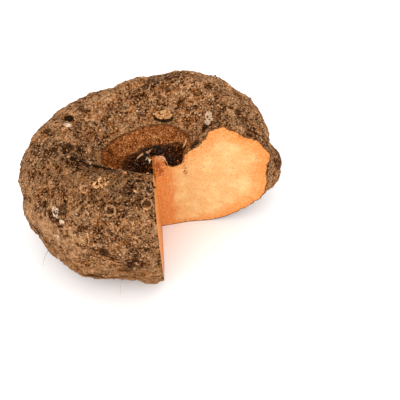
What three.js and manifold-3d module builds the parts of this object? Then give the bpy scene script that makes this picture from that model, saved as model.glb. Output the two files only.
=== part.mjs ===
// Elephant foot yam: one corm, a squat ring-shouldered tuber with a pit on top, and a quarter cut out.
// Millimetres, +Z up. The origin is the middle of the flat foot, below the shoot bud in the pit.
import * as THREE from 'three';
import { mergeVertices } from 'three/addons/utils/BufferGeometryUtils.js';
import Module from 'manifold-3d';

// Overall form
const GIRTH_RADIUS = 70.6; // mean plan radius at the widest level
// How plan radius and height depart from a plain turned shape:
// [share, waves round the corm, azimuth of a crest in degrees].
const LOBES = [
  [0.084, 1, 86],
  [0.113, 2, 35],
  [0.035, 3, 35],
];
const SLOPES = [
  [0.036, 1, 73],
  [0.029, 2, 41],
];
const SHOULDER_HEIGHT = 76.4; // the slopes act fully from here up
// Half section, [share of the plan radius, height]: foot, belly, girth, shoulder, pit, shoot bud
const SECTION = [
  [0.0, 0.0],
  [0.4, 0.0],
  [0.65, 2.7],
  [0.92, 15.0],
  [1.0, 42.2],
  [0.912, 62.4],
  [0.683, 74.8],
  [0.597, 76.4],
  [0.5, 71.3],
  [0.32, 56.0],
  [0.225, 51.5],
  [0.13, 51.0],
  [0.092, 55.0],
  [0.082, 59.5],
  [0.0, 61.0],
];
// The core, along which the two cuts meet below the shoot bud, stands off the foot's centre
const CORE_FOOT = [9.7, -3.2];
const CORE_LEAN = -0.054; // and leans this much in X for each millimetre up
const CORE_DRIFT = 18; // plan radius over which the rings drift from the core to the foot's centre

// Facets
const STEPS_AROUND = 138;
const STEPS_ALONG = 51; // from the foot's inner ring to the bud's tip
const FOOT_RING = 0.12; // the flat foot is plain inside this station

// The missing quarter, as the knife's two paths in plan, from the core out past the skin
const CUT_REACH = 130;
const CUT_LOW = -15;
const CUT_HEIGHT = 120;
const CUT_BEND = [17.3, 4.0]; // where the right-hand cut bends, from the core
const CUT_RIGHT_AZIMUTH = 4;
const CUT_LEFT_AZIMUTH = -86;

// Swells of the body: [azimuth, station, reach, height, steepness of the flank]. A station is a share
// of the way along the half section, from 0 at the foot's centre to 1 at the bud's tip.
const SWELLS = [
  [16, 0.4, 13.5, 8.2, 4], // knob beyond the right-hand cut, below a notch
  [19, 0.515, 9, -5.4, 2],
  [18, 0.552, 12, 1.2, 2],
  [244, 0.758, 27, 8.5, 2], // the near ring stands higher and leans over the pit
  [224, 0.732, 14, -5.6, 2],
  [262, 0.455, 24, -2.8, 2],
  [222, 0.425, 20, -1.2, 2],
  [223, 0.41, 11, -1.5, 2],
  [193, 0.5, 14, -1.1, 2],
  [108, 0.627, 15, -1.2, 2],
  [64, 0.607, 15, 0.8, 2],
  [2, 0.848, 9, 3.2, 2], // the wall of the pit and the shoulders at the right-hand cut
  [4, 0.875, 4.5, -2.6, 2],
  [2, 0.735, 8, 2.0, 2],
  [2, 0.535, 11, 3.8, 2],
  [260, 0.36, 14, -3.2, 2], // the foot's edge, from the left-hand cut to the left
  [276, 0.33, 9, 3.9, 2],
  [246, 0.33, 9, 2.2, 2],
];
const RELIEF_BASE = -0.6; // the relief stands about as much below the plain form as above it

// Folds, pressed in between two places: [azimuth, station, azimuth, station, half width, depth]
const FOLDS = [
  [190, 0.698, 197, 0.758, 6.0, 2.4], // where the near ring rises out of the far one
  [198, 0.78, 200, 0.84, 5.5, 2.4],
  [84, 0.698, 94, 0.748, 5.5, 1.2],
];

// Side buds and their scars: [azimuth, station, radius, rim height, boss height]
const BUDS = [
  [68.8, 0.818, 5.0, 0.7, 1.2],
  [23.6, 0.753, 4.2, 0.5, 0.9],
  [162.4, 0.702, 4.5, 0.8, -1.0],
  [225.2, 0.573, 6.0, 0.8, 1.3],
  [252.4, 0.641, 6.5, 1.0, 1.2],
  [271, 0.652, 4.5, 0.8, -1.0],
  [240.4, 0.698, 5.0, 0.7, 0.8],
  [87.6, 0.73, 4.0, 0.6, -1.0],
];
const HIDDEN_BUDS = 9; // more of them, by rule, on the far side and the belly
const HIDDEN_BUD_RADIUS = 4.8;

// Root scars: many low warts, spread by the golden angle
const WARTS = 230;
const WART_STATIONS = [0.223, 0.811];
const WART_RADIUS = 4.2;
const WART_HEIGHT = 0.65;
const GOLDEN_ANGLE = Math.PI * (3 - Math.sqrt(5));

// Long unevenness, as crossing waves over the whole surface
const RIPPLES = 9;
const RIPPLE_LENGTHS = [44, 14];
const RIPPLE_HEIGHT = 0.32;
const FLAT_BELOW = 1.5; // relief starts at this height, so that the foot stays flat
const FULL_ABOVE = 9;

const FLESH_AND_SKIN = { color: 0x7a5a40, roughness: 0.9, metalness: 0 };

const radians = THREE.MathUtils.degToRad;

// A repeatable number from 0 to 1 for each whole number.
function chance(n) {
  const x = Math.sin(n * 12.9898) * 43758.5453;
  return x - Math.floor(x);
}

function waves(azimuth, terms) {
  return terms.reduce((sum, [share, count, crest]) => {
    return sum + share * Math.cos(count * (azimuth - radians(crest)));
  }, 1);
}

const section = new THREE.SplineCurve(
  SECTION.map(([share, height]) => new THREE.Vector2(share * GIRTH_RADIUS, height)),
);
section.arcLengthDivisions = 800;

// The core's place in plan at a height.
function coreAt(height) {
  return [CORE_FOOT[0] + CORE_LEAN * height, CORE_FOOT[1]];
}

// Takes a point of the plain turned shape to the corm's own form.
function toForm(azimuth, radius, height) {
  const reach = radius * waves(azimuth, LOBES);
  const drift = Math.exp(-((reach / CORE_DRIFT) ** 2));
  const upper = THREE.MathUtils.clamp(height / SHOULDER_HEIGHT, 0, 1);
  const level = Math.max(0, height) * (1 + (waves(azimuth, SLOPES) - 1) * upper * (1 - drift));
  const [coreX, coreY] = coreAt(level);
  return new THREE.Vector3(
    reach * Math.cos(azimuth) + coreX * drift,
    reach * Math.sin(azimuth) + coreY * drift,
    level,
  );
}

function placeOnForm(azimuth, station) {
  const point = section.getPointAt(station);
  return toForm(azimuth, point.x, point.y);
}

function sectionPoints() {
  const points = [section.getPointAt(0)];
  for (let i = 0; i <= STEPS_ALONG; i += 1) {
    points.push(section.getPointAt(THREE.MathUtils.lerp(FOOT_RING, 1, i / STEPS_ALONG)));
  }
  return points;
}

function smoothForm() {
  const turned = new THREE.LatheGeometry(sectionPoints(), STEPS_AROUND);
  turned.rotateX(Math.PI / 2);
  const position = turned.attributes.position;
  const point = new THREE.Vector3();
  for (let i = 0; i < position.count; i += 1) {
    point.fromBufferAttribute(position, i);
    const formed = toForm(Math.atan2(point.y, point.x), Math.hypot(point.x, point.y), point.z);
    position.setXYZ(i, formed.x, formed.y, formed.z);
  }
  turned.deleteAttribute('normal');
  turned.deleteAttribute('uv');
  return mergeVertices(turned, 1e-4);
}

function hiddenBuds() {
  return Array.from({ length: HIDDEN_BUDS }, (_, i) => {
    const azimuth = 20 + 210 * ((i * 0.618) % 1);
    const station = 0.3 + 0.24 * chance(i + 1);
    return [azimuth, station, HIDDEN_BUD_RADIUS * (0.8 + 0.4 * chance(i + 50)), 0.8, 1.1];
  });
}

function makeWarts() {
  const [first, last] = WART_STATIONS;
  return Array.from({ length: WARTS }, (_, i) => ({
    centre: placeOnForm(i * GOLDEN_ANGLE, first + (last - first) * ((i + chance(i)) / WARTS)),
    radius: WART_RADIUS * (0.75 + 0.5 * chance(i + 1000)),
    height: WART_HEIGHT * (0.5 + chance(i + 2000)),
  }));
}

function makeRipples() {
  const [longest, shortest] = RIPPLE_LENGTHS;
  return Array.from({ length: RIPPLES }, (_, i) => {
    const up = 1 - (2 * i + 1) / RIPPLES;
    const across = Math.sqrt(1 - up * up);
    const length = longest * (shortest / longest) ** (i / (RIPPLES - 1));
    const turn = i * GOLDEN_ANGLE;
    const direction = new THREE.Vector3(across * Math.cos(turn), across * Math.sin(turn), up);
    return { vector: direction.multiplyScalar((2 * Math.PI) / length), phase: 2 * Math.PI * chance(i) };
  });
}

// The surface's relief: a function of the place on the smooth form, in millimetres outwards.
function makeRelief() {
  const swells = SWELLS.map(([azimuth, station, reach, height, steepness]) => ({
    centre: placeOnForm(radians(azimuth), station),
    reach,
    height,
    steepness,
  }));
  const folds = FOLDS.map(([azimuthA, stationA, azimuthB, stationB, width, depth]) => ({
    line: new THREE.Line3(
      placeOnForm(radians(azimuthA), stationA),
      placeOnForm(radians(azimuthB), stationB),
    ),
    width,
    depth,
  }));
  const buds = [...BUDS, ...hiddenBuds()].map(([azimuth, station, radius, rim, boss]) => ({
    centre: placeOnForm(radians(azimuth), station),
    radius,
    rim,
    boss,
  }));
  const warts = makeWarts();
  const ripples = makeRipples();
  const nearest = new THREE.Vector3();

  return (point) => {
    let rise = RELIEF_BASE;
    for (const { centre, reach, height, steepness } of swells) {
      rise += height * Math.exp(-((point.distanceTo(centre) / reach) ** steepness));
    }
    for (const { line, width, depth } of folds) {
      line.closestPointToPoint(point, true, nearest);
      rise -= depth * Math.exp(-((point.distanceTo(nearest) / width) ** 2));
    }
    for (const { centre, radius, rim, boss } of buds) {
      const far = point.distanceTo(centre) / radius;
      rise += rim * Math.exp(-(((far - 1) / 0.35) ** 2)) + boss * Math.exp(-((far / 0.55) ** 2));
    }
    for (const { centre, radius, height } of warts) {
      rise += height * Math.exp(-((point.distanceTo(centre) / (0.6 * radius)) ** 2));
    }
    for (const { vector, phase } of ripples) {
      rise += RIPPLE_HEIGHT * Math.sin(vector.dot(point) + phase);
    }
    return rise * THREE.MathUtils.smoothstep(point.z, FLAT_BELOW, FULL_ABOVE);
  };
}

function wholeCorm() {
  const form = smoothForm();
  form.computeVertexNormals();
  const relief = makeRelief();
  const { position, normal } = form.attributes;
  const point = new THREE.Vector3();
  const outwards = new THREE.Vector3();
  for (let i = 0; i < position.count; i += 1) {
    point.fromBufferAttribute(position, i);
    outwards.fromBufferAttribute(normal, i);
    point.addScaledVector(outwards, relief(point));
    position.setXYZ(i, point.x, point.y, point.z);
  }
  form.deleteAttribute('normal');
  return form;
}

// The quarter that was cut away, standing clear of the corm on its outer sides. It leans as the core does.
function missingQuarter() {
  const right = radians(CUT_RIGHT_AZIMUTH);
  const left = radians(CUT_LEFT_AZIMUTH);
  const outline = new THREE.Shape();
  outline.moveTo(0, 0);
  outline.lineTo(CUT_REACH * Math.cos(left), CUT_REACH * Math.sin(left));
  outline.lineTo(CUT_REACH, -CUT_REACH);
  outline.lineTo(
    CUT_BEND[0] + CUT_REACH * Math.cos(right),
    CUT_BEND[1] + CUT_REACH * Math.sin(right),
  );
  outline.lineTo(...CUT_BEND);
  outline.closePath();
  const wedge = new THREE.ExtrudeGeometry(outline, { depth: CUT_HEIGHT, bevelEnabled: false });
  wedge.translate(...CORE_FOOT, CUT_LOW);
  wedge.applyMatrix4(new THREE.Matrix4().makeShear(0, 0, 0, 0, CORE_LEAN, 0));
  wedge.deleteAttribute('normal');
  wedge.deleteAttribute('uv');
  return mergeVertices(wedge, 1e-4);
}

const wasm = await Module();
wasm.setup();

function toSolid(geometry) {
  return new wasm.Manifold(
    new wasm.Mesh({
      numProp: 3,
      vertProperties: new Float32Array(geometry.attributes.position.array),
      triVerts: new Uint32Array(geometry.index.array),
    }),
  );
}

function toGeometry(solid) {
  const mesh = solid.getMesh();
  const geometry = new THREE.BufferGeometry();
  geometry.setAttribute('position', new THREE.BufferAttribute(mesh.vertProperties, 3));
  geometry.setIndex(new THREE.BufferAttribute(mesh.triVerts, 1));
  geometry.computeVertexNormals();
  return geometry;
}

const yam = new THREE.Group();
const corm = new THREE.Mesh(
  toGeometry(toSolid(wholeCorm()).subtract(toSolid(missingQuarter()))),
  new THREE.MeshStandardMaterial(FLESH_AND_SKIN),
);
corm.name = 'corm';
yam.add(corm);

export default yam;
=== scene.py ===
"""Elephant foot yam, dressed: one squat corm with a pit on top and a quarter cut out, on a pale floor.

The form is worked out in millimetres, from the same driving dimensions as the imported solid, and each mesh
is made in metres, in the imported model's frame: +Z up, origin in the middle of the flat foot.
"""

import math

import bpy
import numpy as np
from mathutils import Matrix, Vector, noise
from mathutils.geometry import delaunay_2d_cdt


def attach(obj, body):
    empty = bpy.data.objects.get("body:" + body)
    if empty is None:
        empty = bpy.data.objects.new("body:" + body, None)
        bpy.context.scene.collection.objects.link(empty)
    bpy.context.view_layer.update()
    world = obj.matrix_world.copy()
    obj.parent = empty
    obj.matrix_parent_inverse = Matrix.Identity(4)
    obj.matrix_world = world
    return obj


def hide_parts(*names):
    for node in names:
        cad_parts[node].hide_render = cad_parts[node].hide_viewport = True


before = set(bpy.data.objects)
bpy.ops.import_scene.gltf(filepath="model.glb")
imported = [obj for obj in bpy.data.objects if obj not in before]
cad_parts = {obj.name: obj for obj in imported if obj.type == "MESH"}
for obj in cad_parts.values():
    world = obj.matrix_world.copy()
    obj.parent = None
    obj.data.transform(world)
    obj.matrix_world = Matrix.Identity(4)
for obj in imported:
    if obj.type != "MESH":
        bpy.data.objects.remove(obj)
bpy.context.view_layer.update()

MM = 0.001
UP = np.array([0.0, 0.0, 1.0])

# ---------- the corm's form, in millimetres

GIRTH_RADIUS = 70.6  # mean plan radius at the widest level
# How plan radius and height depart from a plain turned shape: (share, waves round, azimuth of a crest)
LOBES = [(0.084, 1, 86), (0.113, 2, 35), (0.035, 3, 35)]
SLOPES = [(0.036, 1, 73), (0.029, 2, 41)]
SHOULDER_HEIGHT = 76.4  # the slopes act fully from here up
# Half section, as (share of the plan radius, height)
SECTION = [
    (0.0, 0.0), (0.4, 0.0), (0.65, 2.7), (0.92, 15.0),  # foot and belly
    (1.0, 42.2), (0.912, 62.4), (0.683, 74.8), (0.597, 76.4),  # girth and shoulder
    (0.5, 71.3), (0.32, 56.0), (0.225, 51.5), (0.13, 51.0),  # pit
    (0.092, 55.0), (0.082, 59.5), (0.0, 61.0),  # shoot bud
]
CORE_FOOT = np.array([9.7, -3.2])  # the core, along which the two cuts meet, stands off the foot's centre
CORE_LEAN = -0.054  # and leans this much in X for each millimetre up
CORE_DRIFT = 18.0  # plan radius over which the rings drift from the core to the foot's centre

CUT_BEND = np.array([17.3, 4.0])  # where the right-hand cut bends, from the core
CUT_RIGHT_AZIMUTH = 4.0
CUT_LEFT_AZIMUTH = -86.0

# Swells of the body: (azimuth, station, reach, height, steepness of the flank). A station is a share of the
# way along the half section, from 0 at the foot's centre to 1 at the bud's tip.
SWELLS = [
    (16, 0.4, 13.5, 8.2, 4),  # knob beyond the right-hand cut, below a notch
    (19, 0.515, 9, -5.4, 2),
    (18, 0.552, 12, 1.2, 2),
    (244, 0.758, 27, 8.5, 2),  # the near ring stands higher and leans over the pit
    (224, 0.732, 14, -5.6, 2),
    (262, 0.455, 24, -2.8, 2),
    (222, 0.425, 20, -1.2, 2),
    (223, 0.41, 11, -1.5, 2),
    (193, 0.5, 14, -1.1, 2),
    (108, 0.627, 15, -1.2, 2),
    (64, 0.607, 15, 0.8, 2),
    (2, 0.848, 9, 3.2, 2),  # the wall of the pit and the shoulders at the right-hand cut
    (4, 0.875, 4.5, -2.6, 2),
    (2, 0.735, 8, 2.0, 2),
    (2, 0.535, 11, 3.8, 2),
    (260, 0.36, 14, -3.2, 2),  # the foot's edge, from the left-hand cut to the left
    (276, 0.33, 9, 3.9, 2),
    (246, 0.33, 9, 2.2, 2),
]
RELIEF_BASE = -0.6  # the relief stands about as much below the plain form as above it
# Folds pressed in between two places: (azimuth, station, azimuth, station, half width, depth)
FOLDS = [
    (190, 0.698, 197, 0.758, 6.0, 2.4),  # where the near ring rises out of the far one
    (198, 0.78, 200, 0.84, 5.5, 2.4),
    (84, 0.698, 94, 0.748, 5.5, 1.2),
]
# Side buds and their scars: (azimuth, station, radius, rim height, boss height)
BUDS = [
    (68.8, 0.818, 5.0, 0.7, 1.2),
    (23.6, 0.753, 4.2, 0.5, 0.9),
    (162.4, 0.702, 4.5, 0.8, -1.0),
    (225.2, 0.573, 6.0, 0.8, 1.3),
    (252.4, 0.641, 6.5, 1.0, 1.2),
    (271, 0.652, 4.5, 0.8, -1.0),
    (240.4, 0.698, 5.0, 0.7, 0.8),
    (87.6, 0.73, 4.0, 0.6, -1.0),
]
BUD_RIM_WIDTH, BUD_BOSS_WIDTH = 0.35, 0.55  # as shares of a side bud's radius
HIDDEN_BUDS = 9
HIDDEN_BUD_RADIUS = 4.8
HIDDEN_BUD_AZIMUTHS = (20, 230)
HIDDEN_BUD_STATIONS = (0.3, 0.54)
WARTS = 230
WART_STATIONS = (0.223, 0.811)
WART_RADIUS = 4.2
WART_HEIGHT = 0.65
RIPPLES = 9
RIPPLE_LENGTHS = (44.0, 14.0)
RIPPLE_HEIGHT = 0.32
FLAT_BELOW = 1.5  # relief starts at this height, so that the foot stays flat
FULL_ABOVE = 9.0
GOLDEN_ANGLE = math.pi * (3 - math.sqrt(5))
GOLDEN_SHARE = 0.618

SCAR_STATION = 0.836  # the pit's smooth leaf scar starts here
BUD_ZONE_STATION = 0.9  # and the dark scales round the bud start here
FLANK_AZIMUTH, FLANK_STATION = 221, 0.495  # middle of the paler skin on the left flank
SHADOW_AZIMUTH, SHADOW_STATION = 266, 0.37  # middle of a painted shadow low down by the left-hand cut
SCAR_EDGE = (0.826, 0.846)  # stations over which the skin's roughness gives way to the scar
SCAR_GROOVE = 0.5  # depth of the thin groove just inside that edge
BUD_ZONE_EDGE = (0.895, 0.91)
PIT_RIGHT_END = 20  # azimuth at which the scales come out nearest to the scar's edge
# Patches on side buds and old wounds, by tone: (azimuth, station, radius or radii in X, Y and Z, share).
# Some black ones are painted shadow instead, under the raised oval bud and along the near ring's inner lip.
MARKS = {
    "cream": [(68, 0.812, (6.8, 3.2, 3.0), 1.0), (243.7, 0.693, (7.0, 4.6, 4.2), 0.52)],
    "ash": [
        (23.2, 0.754, (2.7, 5.0, 5.0), 1.3),
        (168, 0.712, (3.2, 2.6, 2.6), 0.95),
        (226.4, 0.578, (3.4, 3.6, 5.4), 0.56),
        (231, 0.56, 2.2, 0.6),
        (229.5, 0.505, (2.2, 2.0, 2.4), 0.54),
    ],
    "dark": [
        (171.3, 0.647, (3.4, 2.4, 2.4), 0.7),
        (148.6, 0.708, (3.6, 2.2, 2.2), 0.6),
        (88.4, 0.724, (2.6, 2.4, 2.4), 0.65),
        (69.4, 0.739, (5.2, 2.6, 2.6), 0.55),
        (42.7, 0.701, (4.6, 3.6, 3.6), 0.5),
        (19.2, 0.708, 2.8, 0.55),
        (19.3, 0.662, (4.0, 2.6, 2.6), 0.7),
        (54.8, 0.777, 3.0, 0.5),
        (17.6, 0.777, 3.6, 0.85),
        (10, 0.815, 4.0, 0.8),
        (16, 0.42, 13.0, 0.5),
        (193, 0.73, (5.0, 2.6, 3.6), 0.7),
        (230.8, 0.593, (4.4, 3.6, 4.8), 0.6),
        (254.5, 0.631, 2.3, 0.6),
        (275.2, 0.647, 2.6, 0.65),
        (277.3, 0.685, 2.0, 0.6),
        (261.2, 0.685, (5.0, 4.0, 3.8), 0.58),
        (252.8, 0.493, (3.0, 2.8, 4.4), 1.0),
        (265.4, 0.421, (3.4, 2.8, 3.4), 1.0),
    ],
    "black": [
        # painted shadow under the raised oval bud's lower edge
        (66.8, 0.8185, (7.4, 3.7, 3.4), 1.0),
        (161.7, 0.701, (3.4, 2.6, 2.6), 0.9),
        (30.9, 0.731, (3.0, 1.2, 1.2), 0.9),
        # painted shadow along the near ring's inner lip, where it leans over the pit
        (209, 0.716, (2.6, 2.2, 2.2), 0.7),
        (208.5, 0.747, (3.2, 2.4, 2.8), 0.9),
        (214, 0.756, (3.6, 2.6, 3.2), 1.0),
        (221, 0.768, (3.6, 2.6, 3.4), 1.0),
        (228.7, 0.777, (3.6, 2.6, 3.2), 1.0),
        (235, 0.78, (3.0, 2.4, 2.6), 0.9),
    ],
}
# Pale rings left by side shoots: (azimuth, station, radius)
RING_MARKS = [
    (254.5, 0.631, 2.8), (275.2, 0.647, 2.9), (277.3, 0.685, 2.4), (243, 0.62, 2.2), (236, 0.665, 2.0),
]
ROOT_SCARS = 420  # small ones, between the warts
ROOT_SCAR_RADII = (0.8, 1.5)
ROOT_RING_HEIGHT = 0.2
ROOT_HOLLOW = 0.25
ROOT_RING_WIDTH, ROOT_STUB_WIDTH, ROOT_REACH = 0.38, 0.5, 2.2  # as shares of the ring's radius
# Grain of the cork and of the scales round the bud: (height, size, octaves)
CORK_GRAINS = [(0.5, 5.5, 2), (0.42, 2.4, 1), (0.3, 1.3, 1)]
SCALE_GRAIN = (1.1, 3.6, 2)
# Creases in the cork and ridges on the scales: (height, size)
CREASES = (-0.6, 7.0)
RIDGES = (0.5, 2.6)

# Thin pieces, in millimetres
UNCUT_FROM, UNCUT_TO = 14, 254  # azimuths between which the bud's scales and hairs keep clear of the cuts
BUD_SCALES = 150
BUD_SCALE_LENGTHS = (1.6, 3.8)
BUD_HAIRS = 60
SKIN_FLAKES = 260
ROOT_HAIRS = 26
SHORT_FIBRES = 14  # between the longer ones below
# How the hairs grow; their half widths run from root to tip in a number of steps
BUD_HAIR = {"lengths": (2.0, 5.0), "half_widths": (0.14, 0.05, 6), "tints": (0.1, 0.6)}
BUD_HAIR |= {"spread": 0.8, "bend": 0.5, "droop": 0.0}
ROOT_HAIR = {"lengths": (2.0, 7.0), "half_widths": (0.13, 0.06, 9), "tints": (0.3, 0.8)}
ROOT_HAIR |= {"spread": 0.7, "bend": 0.6, "droop": 0.6}
# Fibres pulled out of the cut face, as (distance from the core, height) along each
PULLED_FIBRES = [
    [(0.5, 57.5), (1.2, 60.0), (3.0, 60.6), (5.0, 60.2), (6.4, 58.6), (7.2, 55.8), (7.7, 52.8)],
    [(1.5, 58.8), (3.6, 59.2), (5.4, 58.6)],
    [(0.3, 55.5), (0.9, 58.0)],
]
# Torn strips of skin: (places as (azimuth, station), half width, lift, tint)
STRIPS = [
    ([(262, 0.432), (257, 0.446), (254, 0.455)], 0.8, 0.6, 0.62),
    ([(30, 0.842), (26, 0.85), (22, 0.862)], 0.7, 0.7, 0.84),
    ([(186, 0.957), (182, 0.972), (150, 0.984), (90, 0.976)], 1.5, 0.9, 0.74),
    ([(212, 0.984), (232, 0.98), (252, 0.974)], 1.8, 0.6, 0.97),
    ([(6.5, 0.64), (5.5, 0.62), (4.5, 0.59)], 0.35, 0.6, 0.3),
    ([(226, 0.35), (234, 0.335), (243, 0.345), (252, 0.335), (262, 0.342), (270, 0.335)], 1.3, 0.25, 0.5),
    ([(205, 0.35), (213, 0.34), (222, 0.352)], 1.0, 0.3, 0.5),
    ([(268, 0.36), (273, 0.352), (277, 0.358)], 0.9, 0.3, 0.56),
]

# ---------- mesh steps

COLUMNS = 372  # round the corm, from cut to cut
ROWS = 214  # along the half section
BELLY_ROWS_SHARE = 0.13  # share of the rows on the unseen underside, up to BELLY_STATION
BELLY_STATION = 0.263
FACE_STEP = 0.95  # between points on the cut faces
APEX_STEPS = 40  # down the edge where the two cuts meet
STEPS_TO_CUT = 40  # enough to settle on the place where a ring meets a cut


def chance(n):
    """A repeatable number from 0 to 1 for each whole number."""
    x = np.sin(np.asarray(n) * 12.9898) * 43758.5453
    return x - np.floor(x)


def pick(low, high, n):
    """A repeatable number from low to high."""
    return low + (high - low) * float(chance(n))


def bell(value):
    """1 at 0, fading out on both sides."""
    return np.exp(-(value**2))


def smooth_step(value, low, high):
    """0 below low, 1 above high, smooth between; low above high turns it round."""
    share = np.clip((value - low) / (high - low), 0, 1)
    return share * share * (3 - 2 * share)


def waves(azimuth, terms):
    """What a size is multiplied by at an azimuth, from (share, waves round, crest) terms."""
    return 1 + sum(s * np.cos(n * (azimuth - math.radians(crest))) for s, n, crest in terms)


def between(value, start, end):
    """1 between two edges, each given as (low, high), and 0 beyond them."""
    return smooth_step(value, *start) * (1 - smooth_step(value, *end))


def heading(azimuth):
    """The direction in plan of an azimuth in radians."""
    return np.stack([np.cos(azimuth), np.sin(azimuth)], axis=-1)


def raised(plan, height):
    """Points, from their places in plan and their heights."""
    return np.concatenate([plan, height[..., None]], axis=-1)


def unit(vector):
    """The same direction with length 1, for one vector or many."""
    return vector / np.linalg.norm(vector, axis=-1, keepdims=True)


def dense_section(per_span=400):
    """The half section as a Catmull-Rom curve: its stations, radii and heights, closely spaced."""
    knots = np.array(SECTION) * (GIRTH_RADIUS, 1)
    last = len(knots) - 1
    t = np.linspace(0, last, last * per_span + 1)
    span = np.minimum(t.astype(int), last - 1)
    f = (t - span)[:, None]
    before, start = knots[np.maximum(span - 1, 0)], knots[span]
    end, after = knots[span + 1], knots[np.minimum(span + 2, last)]
    leave, arrive = (end - before) / 2, (after - start) / 2
    curve = (
        (2 * start - 2 * end + leave + arrive) * f**3
        + (3 * end - 3 * start - 2 * leave - arrive) * f**2
        + leave * f
        + start
    )
    length = np.concatenate([[0], np.cumsum(np.linalg.norm(np.diff(curve, axis=0), axis=1))])
    return length / length[-1], curve[:, 0], curve[:, 1]


SECTION_CURVE = dense_section()


def section_at(station):
    """Radius and height of the plain turned shape at a station."""
    stations, radii, heights = SECTION_CURVE
    return np.interp(station, stations, radii), np.interp(station, stations, heights)


def core_at(height):
    """The core's place in plan at a height."""
    return CORE_FOOT + np.stack([CORE_LEAN * height, 0 * height], axis=-1)


def to_form(azimuth, radius, height):
    """Takes a point of the plain turned shape to the corm's own form."""
    reach = radius * waves(azimuth, LOBES)
    drift = bell(reach / CORE_DRIFT)
    slope = (waves(azimuth, SLOPES) - 1) * np.clip(height / SHOULDER_HEIGHT, 0, 1) * (1 - drift)
    level = np.maximum(height, 0) * (1 + slope)
    return raised(reach[..., None] * heading(azimuth) + drift[..., None] * core_at(level), level)


def place_on_form(azimuth_degrees, station):
    """The point of the form, still without relief, at a place."""
    return to_form(np.radians(azimuth_degrees), *section_at(station))


# ---------- the two cuts


def right_cut_azimuth(distance):
    """Azimuth round the core of the right-hand cut, at each plan distance from the core."""
    along = heading(math.radians(CUT_RIGHT_AZIMUTH))
    ahead = CUT_BEND @ along
    run = np.sqrt(np.maximum(distance**2 - CUT_BEND @ CUT_BEND + ahead**2, ahead**2)) - ahead
    path = CUT_BEND + run[..., None] * along
    return np.arctan2(path[..., 1], path[..., 0])


def left_cut_azimuth(distance):
    """The same for the left-hand cut, which is plane."""
    return np.full_like(distance, math.radians(CUT_LEFT_AZIMUTH))


def place_in_cut(points):
    """Points as (plan distance from the core, height)."""
    return np.stack([np.hypot(*(points[:, :2] - core_at(points[:, 2])).T), points[:, 2]], axis=1)


def place_on_cut(cut_azimuth, distance, height):
    """The point of a cut at each plan distance from the core and height."""
    return raised(core_at(height) + distance[..., None] * heading(cut_azimuth(distance)), height)


def form_azimuth_on_cut(cut_azimuth, radius, height):
    """The azimuths at which the form's rings meet a cut, found by stepping towards it."""
    azimuth = cut_azimuth(radius)
    for _ in range(STEPS_TO_CUT):
        form = to_form(azimuth, radius, height)
        offset = form[:, :2] - core_at(form[:, 2])
        here = np.arctan2(offset[:, 1], offset[:, 0])
        azimuth = azimuth + cut_azimuth(np.hypot(*offset.T)) - here
    return azimuth


# ---------- relief


def grain(points, size, octaves=1):
    """Perlin noise of about the given grain size, in millimetres: roughly -1 to 1 at each point."""
    return np.array([noise.fractal(p, 1.0, 2.0, octaves) for p in (points / size).tolist()])


def ridged(points, size):
    """Creased noise: 1 along thin crests, towards 0 between them."""
    return 1 - np.minimum(np.abs(grain(points, size)) * 3, 1)


def hidden_buds():
    """More side buds, by rule, on the far side and the belly."""
    first, last = HIDDEN_BUD_AZIMUTHS
    for i in range(HIDDEN_BUDS):
        azimuth = first + (last - first) * (i * GOLDEN_SHARE % 1)
        radius = HIDDEN_BUD_RADIUS * (0.8 + 0.4 * chance(i + 50))
        yield azimuth, pick(*HIDDEN_BUD_STATIONS, i + 1), radius, 0.8, 1.1


def warts():
    """The larger root scars, spread by the golden angle: (azimuth, station, number)."""
    first, last = WART_STATIONS
    for i in range(WARTS):
        yield math.degrees(i * GOLDEN_ANGLE), first + (last - first) * (i + chance(i)) / WARTS, i


def ripple_relief(points):
    """Long unevenness, as crossing waves over the whole surface."""
    longest, shortest = RIPPLE_LENGTHS
    rise = np.zeros(len(points))
    for i in range(RIPPLES):
        up = 1 - (2 * i + 1) / RIPPLES
        direction = np.append(math.sqrt(1 - up * up) * heading(i * GOLDEN_ANGLE), up)
        length = longest * (shortest / longest) ** (i / (RIPPLES - 1))
        rise += RIPPLE_HEIGHT * np.sin(points @ direction * 2 * math.pi / length + 2 * math.pi * chance(i))
    return rise


def distance_to_line(points, start, end):
    """Distance of each point from the line between two ends."""
    line = end - start
    share = np.clip((points - start) @ line / (line @ line), 0, 1)
    return np.linalg.norm(points - start - share[:, None] * line, axis=1)


def distance_to_place(points, azimuth, station):
    """Distance of each point from a place on the form."""
    return np.linalg.norm(points - place_on_form(azimuth, station), axis=1)


def swell_relief(points):
    """The broad swells and dips of the body."""
    rise = np.zeros(len(points))
    for azimuth, station, reach, height, steepness in SWELLS:
        away = distance_to_place(points, azimuth, station)
        rise += height * np.exp(-((away / reach) ** steepness))
    return rise


def coarse_relief(points):
    """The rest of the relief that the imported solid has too: folds, side buds, warts and ripples."""
    rise = ripple_relief(points) + RELIEF_BASE
    for *ends, width, depth in FOLDS:
        start, end = place_on_form(*ends[:2]), place_on_form(*ends[2:])
        rise -= depth * bell(distance_to_line(points, start, end) / width)
    for azimuth, station, radius, rim, boss in [*BUDS, *hidden_buds()]:
        away = distance_to_place(points, azimuth, station) / radius
        rise += rim * bell((away - 1) / BUD_RIM_WIDTH) + boss * bell(away / BUD_BOSS_WIDTH)
    for azimuth, station, i in warts():
        spread = 0.6 * WART_RADIUS * (0.75 + 0.5 * chance(i + 1000))
        height = WART_HEIGHT * (0.5 + chance(i + 2000))
        rise += height * bell(distance_to_place(points, azimuth, station) / spread)
    return rise


def root_scars():
    """Every root scar, on the warts and between them: (azimuth, station, ring's radius)."""
    scars = [(azimuth, station, 1.7 + 1.2 * chance(i + 6000)) for azimuth, station, i in warts()]
    for i in range(ROOT_SCARS):
        station = pick(*WART_STATIONS, i + 3000)
        scars.append((360 * chance(i + 4000), station, pick(*ROOT_SCAR_RADII, i + 5000)))
    return scars


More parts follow.
